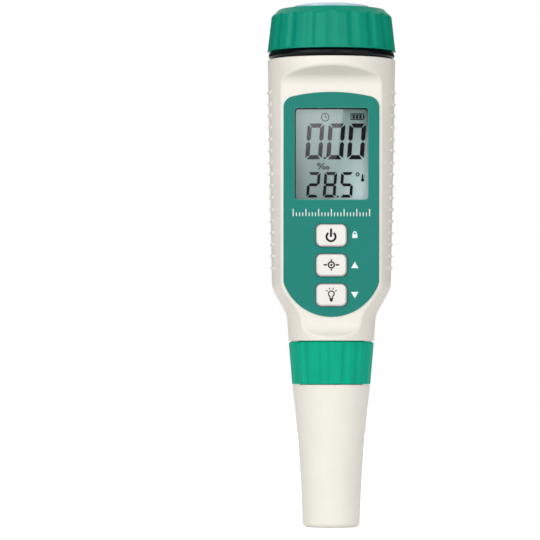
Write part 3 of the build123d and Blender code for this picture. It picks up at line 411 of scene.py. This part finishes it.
class Print:
    """A thin raised print or segment: flat outlines in millimetres on a face, each a closed slab."""

    def __init__(self, face, thickness=PRINT_THICKNESS, lift=PRINT_LIFT):
        self.face = face
        self.low = lift
        self.high = lift + thickness
        self.mesh = bmesh.new()

    def slab(self, points):
        """A closed slab with this outline, counted round either way."""
        turn = sum(a[0] * b[1] - b[0] * a[1] for a, b in zip(points, points[1:] + points[:1]))
        if turn < 0:
            points = points[::-1]
        rings = [
            [self.mesh.verts.new(self.face.point(x * MM, up * MM, out)) for x, up in points]
            for out in (self.low, self.high)
        ]
        self.mesh.faces.new(rings[1])
        self.mesh.faces.new(rings[0][::-1])
        for i in range(len(points)):
            j = (i + 1) % len(points)
            self.mesh.faces.new((rings[0][i], rings[0][j], rings[1][j], rings[1][i]))
        return self

    def ring(self, x, up, radius, stroke, start=0.0, sweep=360.0, steps=40, squash=1.0):
        """A round band, or an arc of one, counted in degrees from the right."""
        closed = sweep >= 360.0
        count = max(6, int(steps * sweep / 360))
        angles = [math.radians(start + sweep * i / count) for i in range(count + (0 if closed else 1))]
        loops = []
        for angle in angles:
            c, s = math.cos(angle), math.sin(angle) * squash
            inner, outer = radius - stroke, radius
            loops.append([
                self.mesh.verts.new(self.face.point((x + r * c) * MM, (up + r * s) * MM, out))
                for r, out in ((inner, self.low), (outer, self.low), (outer, self.high), (inner, self.high))
            ])
        pairs = list(zip(loops, loops[1:])) + ([(loops[-1], loops[0])] if closed else [])
        for one, two in pairs:
            for k in range(4):
                m = (k + 1) % 4
                self.mesh.faces.new((one[k], two[k], two[m], one[m]))
        if not closed:
            self.mesh.faces.new(loops[0])
            self.mesh.faces.new(loops[-1][::-1])
        return self

    def disc(self, x, up, radius, steps=24):
        turns = [2 * math.pi * i / steps for i in range(steps)]
        return self.slab([(x + radius * math.cos(a), up + radius * math.sin(a)) for a in turns])

    def bar(self, x0, up0, x1, up1, width, steps=6):
        """A stroke with round ends."""
        along = math.atan2(up1 - up0, x1 - x0)
        points = []
        for x, up, first in ((x1, up1, along - math.pi / 2), (x0, up0, along + math.pi / 2)):
            for i in range(steps + 1):
                a = first + math.pi * i / steps
                points.append((x + width / 2 * math.cos(a), up + width / 2 * math.sin(a)))
        return self.slab(points)

    def box(self, x, up, width, height):
        w, h = width / 2, height / 2
        return self.slab([(x - w, up - h), (x + w, up - h), (x + w, up + h), (x - w, up + h)])

    def finish(self, name, material, body):
        """The piece as an object that rides on a body."""
        bmesh.ops.recalc_face_normals(self.mesh, faces=self.mesh.faces)
        mesh = bpy.data.meshes.new(name)
        self.mesh.to_mesh(mesh)
        self.mesh.free()
        piece = bpy.data.objects.new(name, mesh)
        bpy.context.collection.objects.link(piece)
        mesh.materials.append(material)
        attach(piece, body)
        return piece


# Display contents, in millimetres from the window's centre
DIGIT_SLANT = math.tan(math.radians(4.2))
SEGMENTS_ON = {"0": "abcdef", "2": "abdeg", "5": "acdfg", "8": "abcdefg"}
MAIN_DIGIT = {"width": 4.95, "height": 10.55, "stroke": 1.25, "gap": 0.1}
MAIN_CENTRES = (-4.88, 1.3, 7.4)
MAIN_UP = 3.72
MAIN_POINT = {"x": -1.95, "up": -1.17, "radius": 0.36}
SMALL_DIGIT = {"width": 3.75, "height": 7.5, "stroke": 0.86, "gap": 0.08}
SMALL_CENTRES = (-5.3, -0.42, 4.5)
SMALL_UP = -9.03
SMALL_POINT = {"x": 1.87, "up": -12.45, "radius": 0.3}


def segment_outlines(width, height, stroke, gap):
    """The seven segments of an upright digit about its centre, with mitred ends."""
    w, h, t = width / 2, height / 2, stroke
    cut = 0.35 * t
    nick = 0.4 * cut
    half = gap / 2 * math.sqrt(2)
    side = {}
    side["b"] = [(w - nick, h - cut - half), (w - t, h - t - half), (w - t, t / 2 + half),
                 (w - t / 2, half), (w, t / 2 + half), (w, h - cut - 2 * half)]
    side["f"] = [(-x, y) for x, y in side["b"]]
    side["c"] = [(x, -y) for x, y in side["b"]]
    side["e"] = [(-x, -y) for x, y in side["b"]]
    side["a"] = [(-w + cut + half, h), (w - cut - half, h), (w - t - half, h - t), (-w + t + half, h - t)]
    side["d"] = [(x, -y) for x, y in side["a"]]
    side["g"] = [(-w + t / 2 + half, 0), (-w + t + half, t / 2), (w - t - half, t / 2), (w - t / 2 - half, 0),
                 (w - t - half, -t / 2), (-w + t + half, -t / 2)]
    return side


def digit(drawing, figure, x, up, size):
    """One figure, leaning a little to the right."""
    outlines = segment_outlines(**size)
    for key in SEGMENTS_ON[figure]:
        drawing.slab([(x + px + py * DIGIT_SLANT, up + py) for px, py in outlines[key]])


def display_reading(face, material):
    """Both rows of figures with their points."""
    drawing = Print(face, SEGMENT_THICKNESS)
    for figure, x in zip("000", MAIN_CENTRES):
        digit(drawing, figure, x, MAIN_UP, MAIN_DIGIT)
    for figure, x in zip("285", SMALL_CENTRES):
        digit(drawing, figure, x, SMALL_UP, SMALL_DIGIT)
    drawing.disc(**MAIN_POINT)
    drawing.disc(**SMALL_POINT)
    drawing.finish("display_reading", material, "housing")


def display_symbols(face, material):
    """Small generic signs: a clock, a charge gauge, a per-mille sign and a thermometer."""
    drawing = Print(face, SEGMENT_THICKNESS)
    stroke = 0.26
    clock_x, clock_up = -1.83, 10.81
    drawing.ring(clock_x, clock_up, 1.26, 0.3)
    drawing.bar(clock_x, clock_up, clock_x, clock_up + 0.69, stroke)
    drawing.bar(clock_x, clock_up, clock_x + 0.48, clock_up - 0.21, stroke)
    battery_x, battery_up, battery_w, battery_h = 7.55, 10.98, 3.9, 1.9
    for sign in (-1, 1):
        drawing.box(battery_x, battery_up + sign * (battery_h - stroke) / 2, battery_w, stroke)
        drawing.box(battery_x + sign * (battery_w - stroke) / 2, battery_up, stroke, battery_h - 2 * stroke)
    drawing.box(battery_x + battery_w / 2 + 0.12, battery_up, 0.24, 0.8)
    for i in range(3):
        drawing.box(battery_x - 1.02 + 0.98 * i, battery_up, 0.7, 1.2)
    drawing.finish("display_signs", material, "housing")

    drawing = Print(face, SEGMENT_THICKNESS)
    sign_x, sign_up = -2.75, -3.55
    drawing.bar(sign_x - 0.9, sign_up - 0.85, sign_x + 0.45, sign_up + 0.9, 0.32)
    for x, up in ((-0.95, 0.5), (0.5, -0.5), (1.62, -0.5)):
        drawing.ring(sign_x + x, sign_up + up, 0.52, 0.3, steps=20)
    drawing.finish("display_unit", material, "housing")

    drawing = Print(face, SEGMENT_THICKNESS)
    drawing.ring(7.7, -5.95, 0.6, 0.31, steps=20)
    stem_x, bulb_up = 9.15, -7.6
    drawing.disc(stem_x, bulb_up, 0.5)
    drawing.bar(stem_x, bulb_up, stem_x, bulb_up + 1.45, 0.46)
    for i in range(3):
        drawing.bar(stem_x + 0.45, bulb_up + 0.75 + 0.36 * i, stem_x + 0.72, bulb_up + 0.75 + 0.36 * i, 0.12)
    drawing.finish("display_thermometer", material, "housing")


# Prints on the keys and beside them
def power_sign(face, material):
    """The usual ring and bar of a power key."""
    drawing = Print(face)
    drawing.ring(-0.1, -0.47, 1.62, 0.6, start=126, sweep=288)
    drawing.bar(-0.1, -0.3, -0.1, 1.66, 0.64)
    drawing.finish("power_sign", material, "key_power")


def target_sign(face, material):
    """A ring with marks either side, for setting against a known value."""
    drawing = Print(face)
    drawing.ring(0, 0, 1.08, 0.42)
    drawing.disc(0, 0, 0.34)
    for sign in (-1, 1):
        drawing.bar(sign * 1.45, 0, sign * 2.1, 0, 0.44)
        drawing.bar(0, sign * 1.32, 0, sign * 1.5, 0.42)
    drawing.finish("target_sign", material, "key_calibrate")


def lamp_sign(face, material):
    """A small bulb with rays."""
    drawing = Print(face)
    bulb_up = 0.25
    drawing.ring(0, bulb_up, 1.0, 0.36, start=-62, sweep=304)
    for sign in (-1, 1):
        drawing.bar(sign * 0.42, bulb_up - 0.78, sign * 0.38, bulb_up - 1.5, 0.32)
    drawing.bar(-0.32, bulb_up - 1.4, 0.32, bulb_up - 1.4, 0.32)
    drawing.disc(0, bulb_up - 1.88, 0.42)
    for degrees in (35, 70, 110, 145):
        a = math.radians(degrees)
        inner, outer = 1.42, 1.78
        drawing.bar(inner * math.cos(a), bulb_up + inner * math.sin(a), outer * math.cos(a),
                    bulb_up + outer * math.sin(a), 0.27)
    drawing.finish("lamp_sign", material, "key_light")


def key_marks(face, key_ups, material):
    """White marks beside the keys: a padlock, and triangles for up and down."""
    half_wide, half_high = 1.1, 0.94
    drawing = Print(face)
    lock_up = key_ups[0] - 0.25
    drawing.box(MARK_X, lock_up, 1.5, 1.15)
    drawing.ring(MARK_X, lock_up + 0.5, 0.62, 0.26, start=0, sweep=180, squash=1.5)
    for up, sign in ((key_ups[1], 1), (key_ups[2] - 0.1, -1)):
        base, tip = up - sign * half_high, up + sign * half_high
        drawing.slab([(MARK_X - half_wide, base), (MARK_X + half_wide, base), (MARK_X, tip)])
    drawing.finish("key_marks", material, "housing")


def tick_scale(face, material):
    """A plain row of ticks under the display."""
    drawing = Print(face)
    count, span, scale_up, tall, short = 25, 22.4, -17.3, 2.1, 1.1
    for i in range(count):
        height = tall if i % 4 == 0 else short
        drawing.box(-span / 2 + span * i / (count - 1), scale_up - tall / 2 + height / 2, 0.26, height)
    drawing.finish("tick_scale", material, "housing")


def border_line(name, face, width, height, corner, line, material):
    """A line of this width round a rectangle with round corners."""
    drawing = Print(face)
    steps = 6
    loops = []
    for grow in (0.0, line):
        r = corner + grow
        x, up = width / 2 + grow - r, height / 2 + grow - r
        loop = []
        for quarter, (corner_x, corner_up) in enumerate(((x, up), (-x, up), (-x, -up), (x, -up))):
            for i in range(steps + 1):
                a = math.radians(90 * (quarter + i / steps))
                loop.append((corner_x + r * math.cos(a), corner_up + r * math.sin(a)))
        loops.append(loop)
    count = len(loops[0])
    rings = [
        [drawing.mesh.verts.new(drawing.face.point(x * MM, up * MM, out)) for x, up in loop]
        for loop, out in ((loops[0], drawing.low), (loops[1], drawing.low),
                          (loops[1], drawing.high), (loops[0], drawing.high))
    ]
    for k in range(4):
        m = (k + 1) % 4
        for i in range(count):
            j = (i + 1) % count
            drawing.mesh.faces.new((rings[k][i], rings[k][j], rings[m][j], rings[m][i]))
    drawing.finish(name, material, "housing")


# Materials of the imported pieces
def dress_nodes():
    """A procedural material for every CAD node, by the material slot it was packed with."""
    lens_low, lens_high = (Vector(corner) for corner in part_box("display_lens"))
    centre = (lens_low + lens_high) / 2
    half_width, half_height = (lens_high.x - lens_low.x) / 2, (lens_high.z - lens_low.z) / 2
    materials = {
        "housing_plastic": moulded("housing_plastic", HOUSING_WHITE, 0.42, shine=0.3, tone=0.015),
        "probe_cap_plastic": moulded("probe_cap_plastic", CAP_WHITE, 0.45, shine=0.3, tone=0.02),
        "cap_plastic": moulded("cap_plastic", CAP_GREEN, 0.34, **GREEN_FINISH),
        "collar_plastic": moulded("collar_plastic", COLLAR_GREEN, 0.32, **GREEN_FINISH),
        "inner_plastic": moulded("inner_plastic", srgb(58, 60, 62), 0.5, tone=0.04),
        "probe_plastic": moulded("probe_plastic", srgb(56, 58, 60), 0.42, shine=0.4),
        "acrylic": moulded("acrylic", srgb(226, 233, 235), 0.18, grain=0.4 * MM, depth=0.002 * MM),
        "chip_black": moulded("chip_black", srgb(28, 28, 30), 0.5, grain=0.08 * MM),
        "lead_insulation": moulded("lead_insulation", srgb(196, 48, 40), 0.4, grain=0.1 * MM),
        "can_aluminium": brushed_metal("can_aluminium", srgb(206, 209, 212), 0.3),
        "steel": brushed_metal("steel", srgb(198, 198, 196), 0.28),
        "cell_steel": brushed_metal("cell_steel", srgb(206, 206, 202), 0.24, along=(1, 1, 0.3)),
        "spring_brass": brushed_metal("spring_brass", srgb(214, 176, 98), 0.3),
        "seal_rubber": seal_rubber(),
        "silicone": soft_silicone("silicone", srgb(176, 178, 178)),
        "label_film": label_film(),
        "clear_lens": clear_lens(),
        "dome_resin": dome_resin(),
        "display_panel": display_panel(centre, half_width, half_height),
        "board_laminate": board_laminate(),
    }
    own = {"probe_cap": "probe_cap_plastic"}
    for name in ("key_power", "key_calibrate", "key_light"):
        low, high = (Vector(corner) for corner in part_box(name))
        middle = (low + high) / 2
        materials[name] = key_plastic(name, middle, KEY_HALF_WIDTH, KEY_HALF_HEIGHT)
        own[name] = name
    for name, node in frame["nodes"].items():
        for holder in node.material_slots:
            holder.material = materials[own.get(name, holder.material.name)]
    return centre


def dress_face(centre):
    """Segments behind the lens and prints on the label and the keys."""
    segment_ink = ink("segment_ink", SEGMENT_INK, 0.5, shine=0.05)
    thin_ink = ink("thin_segment_ink", srgb(10, 12, 24), 0.5, shine=0.05)
    white = ink("white_ink", PRINT_WHITE, 0.5)
    black = ink("black_ink", PRINT_BLACK, 0.5)
    # A lighter green, as a painted highlight on the edge of the label's window
    window_highlight = ink("window_highlight_ink", srgb(44, 150, 134), 0.45)
    # Dark, as a painted shadow on the lens under the window's left and top edges
    shadow = ink("lens_shadow_ink", srgb(34, 44, 46), 0.5, shine=0.05)
    panel = Face("display_glass", 0.0, centre.z)
    display_reading(panel, segment_ink)
    display_symbols(panel, thin_ink)
    key_ups = []
    signs = (("key_power", power_sign), ("key_calibrate", target_sign), ("key_light", lamp_sign))
    for node, sign in signs:
        low, high = (Vector(corner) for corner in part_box(node))
        middle = (low.z + high.z) / 2
        sign(Face(node, 0.0, middle), black)
        key_ups.append((middle - centre.z) / MM)
    first_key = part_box("key_power")
    beside = Face("face_label", MARK_X * MM, (first_key[0][2] + first_key[1][2]) / 2)
    label = beside.moved(-MARK_X * MM, (centre.z - beside.origin.z) / math.cos(FACE_TILT))
    key_marks(label, key_ups, white)
    tick_scale(label, white)
    # The line round the window is a painted highlight on the label's cut edge
    border_line("window_painted_highlight", label, WINDOW_WIDTH, WINDOW_HEIGHT, WINDOW_CORNER, WINDOW_HIGHLIGHT_LINE,
                window_highlight)
    # The dark line on the lens at its left and top is a painted shadow of the window's edge
    shift = LENS_SHADOW_LINE / 2
    lens = Face("display_lens", 0.0, centre.z).moved(shift * MM, -shift * MM)
    border_line("lens_painted_shadow", lens, WINDOW_WIDTH - LENS_SHADOW_LINE, WINDOW_HEIGHT - LENS_SHADOW_LINE,
                WINDOW_CORNER - shift, LENS_SHADOW_LINE, shadow)


# Studio
def camera():
    """The camera where the photograph was taken from."""
    data = bpy.data.cameras.new("camera")
    data.lens = LENS_MM
    data.sensor_width = SENSOR_MM
    view = bpy.data.objects.new("camera", data)
    bpy.context.collection.objects.link(view)
    view.location = (0, -CAMERA_DISTANCE, EYE_HEIGHT)
    focal = LENS_MM / SENSOR_MM * PHOTO_SIDE
    pitch = math.atan((EYE_LEVEL_PX - PHOTO_SIDE / 2) / focal)
    yaw = math.atan((AXIS_PX - PHOTO_SIDE / 2) / focal)
    view.rotation_euler = (math.pi / 2 + pitch, 0, yaw)
    view.rotation_euler.rotate_axis("Z", CAMERA_ROLL)
    bpy.context.scene.camera = view


def lamp(name, azimuth, height, distance, side, tall, power, aim=0.085):
    """A soft area lamp round the object, aimed at its middle and out of the camera's sight."""
    data = bpy.data.lights.new(name, "AREA")
    data.shape = "RECTANGLE"
    data.size, data.size_y = side, tall
    data.energy = power
    light = bpy.data.objects.new(name, data)
    bpy.context.collection.objects.link(light)
    a = math.radians(azimuth)
    light.location = (math.sin(a) * distance, -math.cos(a) * distance, height)
    direction = Vector((0, 0, aim)) - light.location
    light.rotation_euler = direction.to_track_quat("-Z", "Y").to_euler()
    light.visible_camera = False
    return light


def seen_factor(g):
    """1 for rays from the camera, off gloss and through glass, else 0."""
    path = g.add("ShaderNodeLightPath")
    total = g.math("ADD", path.outputs["Is Camera Ray"], path.outputs["Is Glossy Ray"])
    return g.math("MINIMUM", g.math("ADD", total, path.outputs["Is Transmission Ray"]), 1.0)


def world():
    """White where it is seen, and a plain soft fill elsewhere."""
    g = Graph(bpy.data.worlds.new("studio"), "ShaderNodeOutputWorld")
    background = g.add("ShaderNodeBackground")
    background.inputs["Color"].default_value = (1, 1, 1, 1)
    g.link(g.remap(seen_factor(g), 0, 1, WORLD_FILL, SEEN_WHITE), background.inputs["Strength"])
    g.link(background.outputs[0], g.output.inputs["Surface"])
    bpy.context.scene.world = g.owner


def floor():
    """A pale floor that is white where it is seen and keeps the object's shadow. It is clear from below."""
    size = 4.0
    mesh = bmesh.new()
    bmesh.ops.create_grid(mesh, x_segments=4, y_segments=4, size=size)
    data = bpy.data.meshes.new("floor")
    mesh.to_mesh(data)
    mesh.free()
    ground = bpy.data.objects.new("floor", data)
    bpy.context.collection.objects.link(ground)
    ground.location = (0, 0, cad_bounds[0][2] - 0.05 * MM)
    g = Graph(bpy.data.materials.new("floor"))
    speckle = g.noise(6 * MM, detail=3.0)
    diffuse = g.add("ShaderNodeBsdfDiffuse")
    g.link(g.mix(speckle, (0.8, 0.8, 0.8, 1.0), (0.82, 0.82, 0.82, 1.0)), diffuse.inputs["Color"])
    glow = g.add("ShaderNodeEmission")
    g.link(g.math("MULTIPLY", seen_factor(g), FLOOR_GLOW), glow.inputs["Strength"])
    both = g.add("ShaderNodeAddShader")
    g.link(diffuse.outputs[0], both.inputs[0])
    g.link(glow.outputs[0], both.inputs[1])
    sides = g.add("ShaderNodeMixShader")
    g.link(g.add("ShaderNodeNewGeometry").outputs["Backfacing"], sides.inputs[0])
    g.link(both.outputs[0], sides.inputs[1])
    g.link(g.add("ShaderNodeBsdfTransparent").outputs[0], sides.inputs[2])
    g.link(sides.outputs[0], g.output.inputs["Surface"])
    data.materials.append(g.owner)


def board(name, corners, location=(0, 0, 0)):
    """A flat board of the studio that the camera doesn't see and that throws no shadow."""
    mesh = bmesh.new()
    mesh.faces.new([mesh.verts.new(corner) for corner in corners])
    data = bpy.data.meshes.new(name)
    mesh.to_mesh(data)
    mesh.free()
    piece = bpy.data.objects.new(name, data)
    bpy.context.collection.objects.link(piece)
    piece.location = location
    piece.visible_camera = False
    piece.visible_diffuse = False
    piece.visible_shadow = False
    return piece


def reflection_card():
    """A dim board behind the camera that gloss and glass see, with a pale sheet over its left half.
    Its edge is the diagonal line across the display's lens."""
    distance, reach = 2.4, 1.6
    corners = [(-reach, 0, -reach), (reach, 0, -reach), (reach, 0, reach), (-reach, 0, reach)]
    card = board("reflection_card", corners, (0, -distance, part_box("display_lens")[0][2]))
    g = Graph(bpy.data.materials.new("reflection_card"))
    split = g.add("ShaderNodeSeparateXYZ")
    g.link(g.place(), split.inputs[0])
    edge_x, edge_blur, lean = 0.003, 0.0015, 0.16
    fade_low, fade_high = -0.02, 0.07
    sheet_level, board_level = 2.9, 0.1
    along = g.math("ADD", split.outputs["X"], g.math("MULTIPLY", split.outputs["Z"], -lean))
    sheet = g.remap(along, edge_x + edge_blur, edge_x, 0.0, 1.0)
    fade = g.remap(split.outputs["Z"], fade_low, fade_high, 0.0, 1.0)
    glow = g.add("ShaderNodeEmission")
    level = g.math("ADD", g.math("MULTIPLY", g.math("MULTIPLY", sheet, fade), sheet_level), board_level)
    g.link(level, glow.inputs["Strength"])
    g.link(glow.outputs[0], g.output.inputs["Surface"])
    card.data.materials.append(g.owner)


def side_flag(name, side):
    """A dark board beside the object that only gloss sees, so that the flanks keep their colour."""
    x, front, back, low, high = side * 0.5, -0.12, 1.6, -0.04, 0.7
    flag = board(name, [(x, front, low), (x, back, low), (x, back, high), (x, front, high)])
    flag.visible_transmission = False
    g = Graph(bpy.data.materials.new(name))
    glow = g.add("ShaderNodeEmission")
    cloth = g.noise(0.2, detail=2.0)
    g.link(g.remap(cloth, 0.3, 0.7, 0.04, 0.08), glow.inputs["Strength"])
    g.link(glow.outputs[0], g.output.inputs["Surface"])
    flag.data.materials.append(g.owner)


def studio():
    """Two softboxes, a low fill from the front, one from behind, the world, the floor and what gloss sees."""
    lamp("left_softbox", azimuth=-44, height=0.55, distance=1.5, side=0.7, tall=1.0, power=7.1)
    lamp("right_softbox", azimuth=27, height=0.5, distance=1.6, side=0.6, tall=0.9, power=6.2)
    front = lamp("front_fill", azimuth=4, height=0.05, distance=1.7, side=0.5, tall=0.6, power=6.0)
    front.visible_glossy = False
    front.visible_transmission = False
    rear = lamp("rear_fill", azimuth=176, height=0.45, distance=1.6, side=0.8, tall=0.9, power=6.0)
    rear.visible_glossy = False
    world()
    floor()
    reflection_card()
    side_flag("left_flag", -1)
    side_flag("right_flag", 1)
    bpy.context.scene.view_settings.view_transform = "Standard"


camera()
display_centre = dress_nodes()
dress_face(display_centre)
studio()
